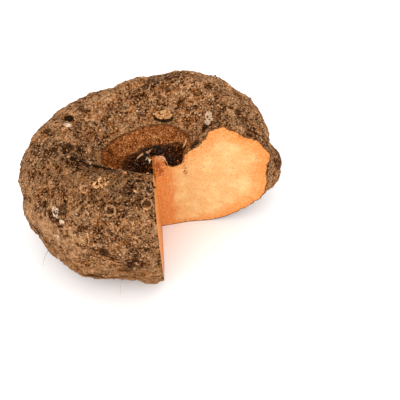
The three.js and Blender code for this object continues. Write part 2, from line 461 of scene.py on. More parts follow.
def root_rings(points):
    """The rings round the root scars and the stubs inside them, as shares from 0 to 1."""
    ring, stub = np.zeros((2, len(points)))
    for azimuth, station, radius in root_scars():
        away = distance_to_place(points, azimuth, station) / radius
        near = away < ROOT_REACH
        ring[near] = np.maximum(ring[near], bell((away[near] - 1) / ROOT_RING_WIDTH))
        stub[near] = np.maximum(stub[near], bell(away[near] / ROOT_STUB_WIDTH))
    return ring, stub


def scar_line(station):
    """A thin line just inside the scar's edge, as a share from 0 to 1: the groove's depth and its painted
    shade.
    """
    return bell((station - SCAR_STATION - 0.003) / 0.003)


def fine_relief(points, station):
    """Corky roughness of the skin, calmer in the pit's scar and rough and scaly round the bud."""
    calm = between(station, SCAR_EDGE, BUD_ZONE_EDGE)
    scaly = smooth_step(station, *BUD_ZONE_EDGE)
    cork = sum(height * grain(points, size, octaves) for height, size, octaves in CORK_GRAINS)
    cork += CREASES[0] * ridged(points + 100, CREASES[1]) ** 3
    height, size, octaves = SCALE_GRAIN
    scales = height * grain(points + 50, size, octaves) + RIDGES[0] * ridged(points, RIDGES[1])
    return cork * (1 - 0.8 * calm) + scales * scaly - SCAR_GROOVE * scar_line(station)


# ---------- the skin


def wrap_degrees(angle):
    """The same angle, from -180 to 180 degrees."""
    return (angle + 180) % 360 - 180


def row_stations():
    """Stations of the mesh's rows, wider apart on the unseen underside."""
    belly = int(ROWS * BELLY_ROWS_SHARE)
    seen = np.linspace(BELLY_STATION, 1, ROWS - belly + 1)
    return np.concatenate([np.linspace(0, BELLY_STATION, belly, endpoint=False), seen])


def nearest(value, rising):
    """Which of a rising row of numbers lies nearest to a value."""
    return round(float(np.interp(value, rising, np.arange(len(rising)))))


class Skin:
    """The skin's points as a grid [row, column]: rows by station, columns from the right cut to the left."""

    def __init__(self):
        self.stations = row_stations()[1:-1]
        radius, height = section_at(self.stations)
        right = form_azimuth_on_cut(right_cut_azimuth, radius, height)
        left = form_azimuth_on_cut(left_cut_azimuth, radius, height) + 2 * math.pi
        self.azimuth = right[:, None] + np.linspace(0, 1, COLUMNS + 1) * (left - right)[:, None]
        form = to_form(self.azimuth, radius[:, None], height[:, None])
        self.normal = unit(np.cross(np.gradient(form, axis=1), np.gradient(form, axis=0)))

        flat = form.reshape(-1, 3)
        rooted = smooth_step(flat[:, 2], FLAT_BELOW, FULL_ABOVE)
        ring, stub = (mask * rooted for mask in root_rings(flat))
        relief = coarse_relief(flat) + fine_relief(flat, np.repeat(self.stations, COLUMNS + 1))
        relief = relief * rooted + ROOT_RING_HEIGHT * ring - ROOT_HOLLOW * stub
        lift = relief + swell_relief(flat) * rooted
        maps = (values.reshape(self.azimuth.shape) for values in (relief, ring, stub, lift))
        self.relief, self.ring, self.stub, lift = maps
        self.grid = form + self.normal * lift[..., None]
        for column, cut_azimuth in ((0, right_cut_azimuth), (-1, left_cut_azimuth)):
            self.grid[:, column] = place_on_cut(cut_azimuth, *place_in_cut(self.grid[:, column]).T)

    def at(self, azimuth_degrees, station):
        """The skin's point and outward direction at a place, or None where it was cut away."""
        row = nearest(station, self.stations)
        bearings = self.azimuth[row]
        bearing = math.radians(azimuth_degrees)
        bearing += 2 * math.pi * math.ceil((bearings[0] - bearing) / (2 * math.pi))
        if bearing > bearings[-1]:
            return None
        column = nearest(bearing, bearings)
        return self.grid[row, column], self.normal[row, column]


def skin_masks(skin):
    """Where each kind of skin lies, as a share from 0 to 1 at each point of the grid."""
    azimuths = np.degrees(skin.azimuth)
    drift = grain(skin.grid.reshape(-1, 3), 6.0, 2).reshape(azimuths.shape)
    place = skin.stations[:, None] + 0.003 * drift
    height = skin.grid[..., 2] + 6 * drift
    far = smooth_step(skin.grid[..., 1], -25, -5)
    bud_from = BUD_ZONE_STATION - 0.037 * bell(wrap_degrees(azimuths - PIT_RIGHT_END) / 30)
    offset = skin.grid[..., :2] - core_at(skin.grid[..., 2])
    left_cut = math.radians(CUT_LEFT_AZIMUTH)
    from_left = np.abs(offset @ heading(left_cut + math.pi / 2))
    near_side = smooth_step(offset @ heading(left_cut), -2, 1)

    def fading_from(azimuth, station, width, height):
        """1 at a place on the skin, fading over a width in degrees and a height in stations."""
        across = wrap_degrees(azimuths - azimuth) / width
        return np.exp(-(across**2) - ((place - station) / height) ** 2)

    def distance_from(azimuth, station, radii=1.0):
        """Distance from a place on the skin, measured in radii."""
        return np.linalg.norm((skin.grid - skin.at(azimuth, station)[0]) / radii, axis=-1)

    # painted shade over the top of the near ring, to tone down the light that it catches
    near_ring = 0.8 * bell((place - 0.67) / 0.08) + 0.5 * smooth_step(place, 0.68, 0.73)
    masks = {
        "relief": skin.relief,
        "ring": skin.ring,
        "stub": skin.stub,
        "scar": smooth_step(place, SCAR_STATION - 0.002, SCAR_STATION + 0.002),
        "rim": bell((place - SCAR_STATION + 0.007) / 0.005),
        "line": scar_line(place),
        # painted shade: the scar darker towards its left end
        "shade": smooth_step(azimuths, 120, 165),
        "bud": smooth_step(place, bud_from - 0.003, bud_from + 0.003),
        # painted shade along the foot of the dark scales
        "groove": bell((place - bud_from + 0.004) / 0.005),
        "far_slope": far * smooth_step(place, 0.68, 0.74),
        "painted_shade": (1 - far) * near_ring + 0.5 * fading_from(SHADOW_AZIMUTH, SHADOW_STATION, 16, 0.05),
        "low": smooth_step(height, 38, 11),
        "plain": (1 - far) * between(height, (8, 26), (50, 70)),
        "flank": fading_from(FLANK_AZIMUTH, FLANK_STATION, 24, 0.05),
        "bruise": near_side * smooth_step(place, 0.81, 0.85) * smooth_step(from_left, 1.5, 0.1),
    }
    for tone, marks in MARKS.items():
        shares = [share * smooth_step(distance_from(*mark), 1.15, 0.6) for *mark, share in marks]
        masks[tone] = np.max(shares, axis=0)
    halos = [bell((distance_from(*mark) - radius) / 0.46) for *mark, radius in RING_MARKS]
    masks["halo"] = np.max(halos, axis=0)
    return masks


# ---------- the cut faces


def inside(points, outline):
    """Which points lie inside a closed outline, both in the plane."""
    x, y = points[:, 0, None], points[:, 1, None]
    ax, ay = outline.T
    bx, by = np.roll(outline, -1, axis=0).T
    crosses = (ay > y) != (by > y)
    with np.errstate(divide="ignore", invalid="ignore"):
        where = (bx - ax) * (y - ay) / (by - ay) + ax
    return (np.sum(crosses & (x < where), axis=1) % 2) == 1


def distance_to_outline(points, outline, closed):
    """Distance of each point from the nearest stretch of an outline."""
    stretches = list(zip(outline, np.roll(outline, -1, axis=0)))
    stretches = stretches if closed else stretches[:-1]
    return np.min([distance_to_line(points, start, end) for start, end in stretches], axis=0)


def cut_face(outline, skin_count):
    """Fills a cut face, given its outline as (distance from the core, height) points, of which the
    first skin_count follow the skin. Returns the points added inside, their depth below the skin and
    the triangles, numbered with the outline's points first."""
    low, high = outline.min(axis=0), outline.max(axis=0)
    heights = np.arange(low[1], high[1], FACE_STEP * math.sqrt(3) / 2)
    columns = range(int((high[0] - low[0]) / FACE_STEP) + 1)
    rows = [[(low[0] + (j + 0.5 * (i % 2)) * FACE_STEP, y) for j in columns] for i, y in enumerate(heights)]
    spots = np.concatenate(rows)
    spots += (chance(np.arange(2 * len(spots)).reshape(-1, 2)) - 0.5) * 0.3 * FACE_STEP
    spots = spots[inside(spots, outline)]
    spots = spots[distance_to_outline(spots, outline, True) > 0.55 * FACE_STEP]
    depth = distance_to_outline(spots, outline[:skin_count], False)

    count = len(outline)
    edges = [(i, (i + 1) % count) for i in range(count)]
    points = [Vector(p) for p in np.concatenate([outline, spots]).tolist()]
    _, _, triangles, origins, _, _ = delaunay_2d_cdt(points, edges, [], 1, 1e-5)
    number = [origin[0] for origin in origins]
    return spots, depth, [[number[k] for k in triangle] for triangle in triangles]


def face_relief(spots, side):
    """How far a cut face stands out of its plane: knife waves and torn grain, in millimetres."""
    spread = np.concatenate([spots, np.full((len(spots), 1), 200.0 * side)], axis=1)
    knife = np.sin(spots @ (0.35, 1.15) + 2.5 * grain(spread, 18.0))
    return 0.5 * grain(spread, 26.0) + 0.12 * knife + 0.12 * grain(spread, 2.2)


def notch_shade_and_specks(distance, height):
    """Painted shade in the notch's corner below the shoot bud, and brown specks below the notch beside it.
    """
    below_bud = bell((distance - 2.5) / 4.5) * between(height, (38, 50), (54, 58))
    specks = bell((distance - 17.5) / 1.7) * smooth_step(height, 38, 44)
    return 0.8 * below_bud + 0.62 * specks


# ---------- pieces


def add_mask(mesh, name, values):
    """Stores a value at each point of a mesh, for its material to read."""
    attribute = mesh.attributes.new(name, "FLOAT", "POINT")
    attribute.data.foreach_set("value", np.asarray(values, dtype=np.float32))


def add_piece(name, points, faces, material):
    """A smooth mesh that rides on the corm's body, from points in millimetres."""
    mesh = bpy.data.meshes.new(name)
    mesh.from_pydata((np.asarray(points) * MM).tolist(), [], faces)
    mesh.polygons.foreach_set("use_smooth", [True] * len(faces))
    mesh.materials.append(material)
    piece = bpy.data.objects.new(name, mesh)
    bpy.context.scene.collection.objects.link(piece)
    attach(piece, "root")
    return piece


def build_corm(skin):
    """The corm as one closed mesh, skin and cut faces, with its masks for the materials."""
    rows, columns = skin.azimuth.shape
    apex_heights = np.linspace(section_at(1.0)[1], 0, APEX_STEPS + 1)
    apex = raised(core_at(apex_heights), apex_heights)
    points = np.concatenate([skin.grid.reshape(-1, 3), apex[[-1, 0]], apex[1:-1]])
    foot, bud_tip, *apex_index = range(rows * columns, len(points))

    index = np.arange(rows * columns).reshape(rows, columns)
    quads = np.stack([index[:-1, :-1], index[:-1, 1:], index[1:, 1:], index[1:, :-1]], axis=-1)
    faces = quads.reshape(-1, 4).tolist()
    faces += [[foot, a + 1, a] for a in index[0, :-1].tolist()]
    faces += [[bud_tip, a, a + 1] for a in index[-1, :-1].tolist()]
    skin_faces = len(faces)

    depths, on_left = np.zeros((2, len(points)))
    for side, column, cut_azimuth in ((0, 0, right_cut_azimuth), (1, -1, left_cut_azimuth)):
        loop = [foot, *index[:, column].tolist(), bud_tip, *apex_index]
        outline = place_in_cut(points[loop])
        spots, depth, triangles = cut_face(outline, rows + 2)
        numbers = np.array(loop + list(range(len(points), len(points) + len(spots))))
        turned = triangles if side else [triangle[::-1] for triangle in triangles]
        faces += [numbers[triangle].tolist() for triangle in turned]

        across = raised(heading(cut_azimuth(spots[:, 0]) + math.pi / 2), np.zeros(len(spots)))
        lift = face_relief(spots, side) * smooth_step(distance_to_outline(spots, outline, True), 0, 4)
        points = np.concatenate([points, place_on_cut(cut_azimuth, *spots.T) + lift[:, None] * across])
        depths = np.concatenate([depths, depth])
        on_left = np.concatenate([on_left, np.full(len(spots), side)])

    corm = add_piece("corm_dressed", points, faces, skin_material())
    mesh = corm.data
    mesh.materials.append(flesh_material())
    mesh.polygons.foreach_set("material_index", [0] * skin_faces + [1] * (len(faces) - skin_faces))
    rest = np.zeros(len(points) - rows * columns)
    masks = {name: np.concatenate([mask.ravel(), rest]) for name, mask in skin_masks(skin).items()}
    distance, height = place_in_cut(points).T
    masks |= {"depth": depths, "core": distance, "left": on_left, "shade_specks": notch_shade_and_specks(distance, height)}
    for name, mask in masks.items():
        add_mask(mesh, name, mask)
    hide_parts("corm")


class Shreds:
    """Thin tapered bodies gathered into one mesh, each with a tint from 0, black, to 1, cream."""

    def __init__(self):
        self.points = []
        self.faces = []
        self.tints = []

    def sweep(self, path, across, half_widths, half_thicknesses, tint, sides=4):
        """Adds a closed body with an elliptical section, broad in the direction across."""
        along = unit(np.gradient(path, axis=0))
        broad = unit(across - np.sum(across * along, axis=1, keepdims=True) * along)
        thin = np.cross(along, broad)
        turns = np.arange(sides) * 2 * math.pi / sides
        wide = (half_widths[:, None] * np.cos(turns))[..., None]
        deep = (half_thicknesses[:, None] * np.sin(turns))[..., None]
        rings = path[:, None] + broad[:, None] * wide + thin[:, None] * deep

        first = sum(len(points) for points in self.points)
        last = first + sides * (len(path) - 1)
        for start in range(first, last, sides):
            for j in range(sides):
                a, b = start + j, start + (j + 1) % sides
                self.faces.append([a, b, b + sides, a + sides])
        self.faces.append([first + j for j in reversed(range(sides))])
        self.faces.append([last + j for j in range(sides)])
        self.points.append(rings.reshape(-1, 3))
        self.tints.append(np.full(len(path) * sides, tint))

    def build(self, name):
        """Makes one piece of all the bodies."""
        piece = add_piece(name, np.concatenate(self.points), self.faces, shred_material())
        add_mask(piece.data, "tint", np.concatenate(self.tints))


def any_direction(n):
    """A repeatable direction, as a vector of length 1."""
    return unit(np.array([pick(-1, 1, n), pick(-1, 1, n + 0.37), pick(-1, 1, n + 0.71)]))


def uncut_azimuth(i):
    """Azimuths spread evenly between the two cuts."""
    return UNCUT_FROM + (UNCUT_TO - UNCUT_FROM) * (i * GOLDEN_SHARE % 1)


def spots_on(skin, places):
    """Number, point and outward direction of each (azimuth, station) that isn't cut away."""
    for i, place in enumerate(places):
        spot = skin.at(*place)
        if spot is not None:
            yield i, *spot


def bent_path(start, length, away, bend, steps):
    """Points that leave start in the direction away and bend over on their way."""
    share = np.linspace(0, 1, steps)[:, None]
    return start + length * (share * away + share**2 * bend)


def usual_or_rare(share, usual, rare, n):
    """A repeatable number from the usual range in a share of cases, or else from the rare one."""
    return pick(*(usual if chance(n + 10) < share else rare), n)


def add_hair(shreds, point, normal, n, *, lengths, half_widths, tints, spread, bend, droop):
    """A thin hair that grows out of the skin, bends over and stays above the table."""
    half = np.linspace(*half_widths)
    away = normal + spread * any_direction(n)
    bending = bend * (any_direction(n + 10) - droop * UP)
    path = bent_path(point - 0.3 * normal, pick(*lengths, n + 20), away, bending, len(half))
    path[:, 2] = np.maximum(path[:, 2], 0.3)
    shreds.sweep(path, any_direction(n + 30), half, half, pick(*tints, n + 40), sides=3)


def bud_scales(skin):
    """Ragged remains of the leaf scales round the shoot bud, and the hairs among them."""
    shreds = Shreds()
    places = [(uncut_azimuth(i), pick(BUD_ZONE_STATION + 0.004, 0.99, i + 10)) for i in range(BUD_SCALES)]
    for i, point, normal in spots_on(skin, places):
        outward = unit(np.append(point[:2] - core_at(point[2]), 0))
        length = pick(*BUD_SCALE_LENGTHS, i + 20)
        lean = pick(-0.5, 0.9, i + 30)
        path = bent_path(point - 0.5 * normal, length, UP, lean * outward, 5)
        path += np.linspace(0, 0.5, 5)[:, None] * any_direction(i + 40)
        ragged = 1 + 0.5 * (chance(np.arange(5) + 7 * i) - 0.5)
        half_widths = pick(0.7, 1.5, i + 50) * np.array([1.0, 1.1, 0.9, 0.6, 0.12]) * ragged
        tint = usual_or_rare(0.95, (0.0, 0.34), (0.45, 0.7), i + 60)
        shreds.sweep(path, np.cross(UP, outward), half_widths, np.linspace(0.22, 0.06, 5), tint)
    places = [(uncut_azimuth(i), pick(BUD_ZONE_STATION, 0.99, i + 110)) for i in range(BUD_HAIRS)]
    for i, point, normal in spots_on(skin, places):
        add_hair(shreds, point, normal, i + 120, **BUD_HAIR)
    shreds.build("bud_scales")


def cut_fibres():
    """Pale fibres that the knife pulled out along the top of the cut through the shoot bud."""
    shreds = Shreds()
    for n, line in enumerate(PULLED_FIBRES):
        count = 5 * len(line)
        steps = np.linspace(0, len(line) - 1, count)
        distance, height = (np.interp(steps, np.arange(len(line)), values) for values in zip(*line))
        jitter = chance(np.arange(3 * count) + 90 * n).reshape(-1, 3) - 0.5
        path = place_on_cut(right_cut_azimuth, distance, height) + (0.0, -0.35, 0.0) + 0.35 * jitter
        half = 0.3 * (0.6 + 0.7 * chance(np.arange(count) + 70 * n))
        half *= np.sin(np.pi * np.linspace(0.1, 0.9, count))
        shreds.sweep(path, np.array([0.3, 0.2, 1.0]), half, 0.6 * half, 0.97)
    for i in range(SHORT_FIBRES):
        distance, height = np.array([[pick(0.6, 7.0, i + 220)], [pick(57.0, 60.0, i + 230)]])
        start = place_on_cut(right_cut_azimuth, distance, height) + (0.0, 0.2, 0.0)
        away = np.array([pick(-0.5, 0.7, i + 240), pick(-0.9, -0.3, i + 250), pick(-0.4, 0.5, i + 260)])
        path = bent_path(start, pick(0.8, 2.2, i + 270), away, -UP, 6)
        half = pick(0.14, 0.26, i + 280) * np.linspace(1, 0.3, 6)
        shreds.sweep(path, any_direction(i + 290), half, 0.7 * half, pick(0.62, 1.0, i + 300))
    shreds.build("cut_fibres")


def lay_ribbon(shreds, skin, places, half_width, lift, tint, n):
    """A ragged ribbon along the skin through places given as (azimuth, station)."""
    steps = 4 * len(places)
    share = np.linspace(0, 1, steps)
    knots = np.linspace(0, 1, len(places))
    along_skin = zip(*(np.interp(share, knots, values) for values in zip(*places)))
    points, normals = (np.array(vectors) for vectors in zip(*(skin.at(*place) for place in along_skin)))
    path = points + normals * (lift + 0.25 * (chance(np.arange(steps) + n) - 0.5))[:, None]
    path[1:-1] = (path[:-2] + path[1:-1] + path[2:]) / 3
    across = np.cross(normals, np.gradient(path, axis=0))
    ragged = 0.6 + 0.8 * chance(np.arange(steps) + n + 50)
    half_widths = half_width * ragged * np.sin(np.pi * np.linspace(0.06, 0.94, steps))
    shreds.sweep(path, across, half_widths, np.full(steps, 0.13), tint)


def skin_flakes(skin):
    """Loose flakes of skin all over, and the larger torn strips."""
    shreds = Shreds()
    last = SCAR_STATION - 0.01
    places = [(360 * chance(i + 310), pick(0.25, last, i + 320)) for i in range(SKIN_FLAKES)]
    for i, point, normal in spots_on(skin, places):
        flat = any_direction(i + 330)
        flat = unit(flat - (flat @ normal) * normal)
        share = np.linspace(-0.5, 0.5, 4)[:, None]
        curl = pick(0.1, 0.5, i + 350) * (share + 0.4) ** 2 * normal
        path = point + 0.15 * normal + pick(0.7, 2.6, i + 340) * (share * flat + curl)
        half_widths = pick(0.25, 0.7, i + 360) * np.array([0.3, 1.0, 0.8, 0.2])
        shreds.sweep(path, np.cross(normal, flat), half_widths, np.full(4, 0.09), pick(0.15, 0.82, i + 370))
    for n, strip in enumerate(STRIPS):
        lay_ribbon(shreds, skin, *strip, 400 + 31 * n)
    shreds.build("skin_flakes")


def root_remains(skin):
    """Short stubs standing in the root scars, and a few root hairs."""
    shreds = Shreds()
    scars = root_scars()
    for i, point, normal in spots_on(skin, [scar[:2] for scar in scars]):
        if point[2] < FULL_ABOVE:
            continue
        lean = normal + 0.5 * any_direction(i + 510)
        share = np.array([0, 0.7, 1])[:, None]
        path = point - 0.5 * normal + (0.5 + pick(0.1, 0.5, i + 520)) * share * lean
        half = scars[i][2] * pick(0.28, 0.5, i + 530) * np.array([1.1, 1.0, 0.7])
        tint = usual_or_rare(0.6, (0.25, 0.55), (0.6, 0.85), i + 540)
        shreds.sweep(path, any_direction(i + 560), half, half * pick(0.7, 1, i + 570), tint, sides=6)
    ends = [(0.27, 0.5) if i % 3 else (0.5, 0.83) for i in range(ROOT_HAIRS)]
    places = [(360 * chance(i + 620), pick(*ends[i], i + 610)) for i in range(ROOT_HAIRS)]
    for i, point, normal in spots_on(skin, places):
        add_hair(shreds, point, normal, i + 630, **ROOT_HAIR)
    shreds.build("root_remains")


# ---------- materials


class Value:
    """A number that varies over a surface. Sums and products of values make the nodes for them."""

    def __init__(self, paint, socket):
        self.paint = paint
        self.socket = socket

    def math(self, operation, first, second=0.0):
        """The result of a maths node."""
        node = self.paint.node("Math", {0: first, 1: second}, operation=operation)
        return Value(self.paint, node.outputs["Value"])

    def __add__(self, other):
        return self.math("ADD", self, other)

    def __sub__(self, other):
        return self.math("SUBTRACT", self, other)

    def __rsub__(self, other):
        return self.math("SUBTRACT", other, self)

    def __mul__(self, other):
        return self.math("MULTIPLY", self, other)

    __rmul__ = __mul__

    def __abs__(self):
        return self.math("ABSOLUTE", self)

    def swing(self, gain):
        """How far a noise is from its middle, scaled."""
        return (self - 0.5) * gain

    def rise(self, low, high):
        """0 below low, 1 above high, smooth between; low above high turns it round."""
        inputs = {"Value": self, "From Min": low, "From Max": high}
        node = self.paint.node("MapRange", inputs, interpolation_type="SMOOTHSTEP")
        return Value(self.paint, node.outputs["Result"])


class Paint:
    """A material made of nodes: its colour is laid on in layers. Lengths are in millimetres."""

    def __init__(self, name):
        self.material = bpy.data.materials.new(name)
        self.material.use_nodes = True
        self.tree = self.material.node_tree
        self.place = self.node("TexCoord").outputs["Object"]
        self.colour = None

    def node(self, kind, inputs=(), **settings):
        """A new node of a kind, with its settings, and with its inputs linked or set."""
        node = self.tree.nodes.new("ShaderNode" + kind)
        for name, value in settings.items():
            setattr(node, name, value)
        for name, value in dict(inputs).items():
            self.put(node.inputs[name], value)
        return node

    def put(self, socket, value):
        """Links a value or an output to a socket, or sets the socket's own number or colour."""
        value = value.socket if isinstance(value, Value) else value
        if isinstance(value, bpy.types.NodeSocket):
            self.tree.links.new(value, socket)
        else:
            socket.default_value = value

    def mask(self, name):
        """A value stored at the mesh's points."""
        return Value(self, self.node("Attribute", attribute_name=name).outputs["Fac"])

    def noise(self, size, detail=3.0, roughness=0.55, distortion=0.0, stretch=(1, 1, 1)):
        """Noise with a grain of the given size."""
        place = self.node("Mapping", {"Vector": self.place, "Scale": stretch}).outputs["Vector"]
        inputs = {"Vector": place, "Scale": 1 / (size * MM), "Detail": detail}
        inputs |= {"Roughness": roughness, "Distortion": distortion}
        return Value(self, self.node("TexNoise", inputs).outputs["Fac"])

    def creases(self, width, *noise, **settings):
        """1 along thin wandering lines, 0 beyond their width."""
        return abs(self.noise(*noise, **settings).swing(1.0)).rise(*width)

    def warped(self, size, amount):
        """The place, pushed about by noise of a grain size."""
        push = self.node("TexNoise", {"Vector": self.place, "Scale": 1 / (size * MM)})
        inputs = {0: push.outputs["Color"], 1: [2 * amount * MM] * 3, 2: self.place}
        return self.node("VectorMath", inputs, operation="MULTIPLY_ADD").outputs["Vector"]

    def cells(self, size, place=None):
        """Distance from the nearest of many scattered points, and two random shares for each."""
        node = self.node("TexVoronoi", {"Vector": place or self.place, "Scale": 1 / (size * MM)})
        split = self.node("SeparateColor", {"Color": node.outputs["Color"]})
        sockets = (node.outputs["Distance"], split.outputs["Red"], split.outputs["Green"])
        return [Value(self, socket) for socket in sockets]

    def ramp(self, value, *stops):
        """A colour read off a scale of (position, colour) stops."""
        node = self.node("ValToRGB", {"Fac": value})
        elements = node.color_ramp.elements
        while len(elements) < len(stops):
            elements.new(0.5)
        for element, (position, colour) in zip(elements, stops):
            element.position = position
            element.color = (*colour, 1)
        return node.outputs["Color"]

    def cover(self, colour, share, blend="MIX"):
        """Lays a colour over what is there, by a share from 0 to 1."""
        node = self.node("Mix", data_type="RGBA", blend_type=blend)
        for number, value in ((0, share), (6, self.colour), (7, colour)):
            self.put(node.inputs[number], (*value, 1) if isinstance(value, tuple) else value)
        self.colour = node.outputs[2]

    def finish(self, height, distance, settings):
        """Puts the colour and a bump on the shader, and sets its other sockets."""
        shader = self.tree.nodes["Principled BSDF"]
        bump = self.node("Bump", {"Height": height, "Distance": distance * MM, "Strength": 1.0})
        links = {"Base Color": self.colour, "Normal": bump.outputs["Normal"]}
        for name, value in (links | settings).items():
            self.put(shader.inputs[name], value)
        return self.material


# Linear colours
BLACK_BROWN = (0.011, 0.005, 0.002)
DARK_BROWN = (0.046, 0.013, 0.003)
UMBER = (0.118, 0.038, 0.0075)
EARTH = (0.255, 0.099, 0.029)
BARK_TAN = (0.42, 0.19, 0.070)
STRAW = (0.66, 0.36, 0.18)
CREAM = (0.80, 0.50, 0.28)
OLIVE = (0.30, 0.168, 0.080)
RUST = (0.42, 0.125, 0.024)
SHADE_TINT = (0.62, 0.58, 0.52)
GROOVE_SHADE = (0.13, 0.035, 0.006)
SCAR_RIM = (0.54, 0.27, 0.115)
BRUISE_ORANGE = (0.50, 0.13, 0.02)
CORE_ORANGE = (0.66, 0.185, 0.028)
RIM_ORANGE = (0.74, 0.25, 0.055)
LEFT_FACE_ORANGE_AND_SHADE = (0.60, 0.165, 0.022)
PEACH = (0.73, 0.40, 0.15)
PALE_FLESH = (0.78, 0.50, 0.215)
PORE_BROWN = (0.46, 0.16, 0.035)
CRUMB_BROWN = (0.36, 0.095, 0.015)
SHADE_SPECK_BROWN = (0.30, 0.058, 0.006)

# Scales of tone, as (position, colour)
CORK_TONES = [
    (0.0, BLACK_BROWN), (0.08, DARK_BROWN), (0.26, UMBER), (0.5, EARTH), (0.74, BARK_TAN), (1.0, STRAW),
]
LOW_TONES = [(0.35, (0.19, 0.078, 0.025)), (0.6, (0.35, 0.155, 0.054))]
DOT_TONES = [(0.0, BARK_TAN), (0.35, (0.64, 0.25, 0.075)), (0.75, STRAW), (0.95, CREAM)]
SCAR_TONES = [
    (0.0, BLACK_BROWN), (0.22, (0.12, 0.026, 0.003)), (0.5, (0.32, 0.095, 0.021)),
    (0.76, (0.43, 0.148, 0.042)), (1.0, (0.60, 0.29, 0.12)),
]
BUD_TONES = [(0.44, BLACK_BROWN), (0.68, (0.042, 0.010, 0.002)), (0.86, (0.15, 0.04, 0.008)), (1.0, RUST)]
DARK_TONES = [(0.1, BLACK_BROWN), (0.5, (0.045, 0.020, 0.008)), (0.9, UMBER)]
ASH_TONES = [(0.05, DARK_BROWN), (0.2, EARTH), (0.34, (0.50, 0.32, 0.19)), (0.6, (0.80, 0.57, 0.39))]
CREAM_TONES = [
    (0.1, UMBER), (0.3, (0.50, 0.20, 0.065)), (0.5, (0.72, 0.33, 0.12)), (0.85, (0.92, 0.55, 0.27)),
]
SHRED_TONES = [
    (0.1, BLACK_BROWN), (0.3, DARK_BROWN), (0.5, EARTH), (0.65, BARK_TAN), (0.82, STRAW), (0.97, CREAM),
]


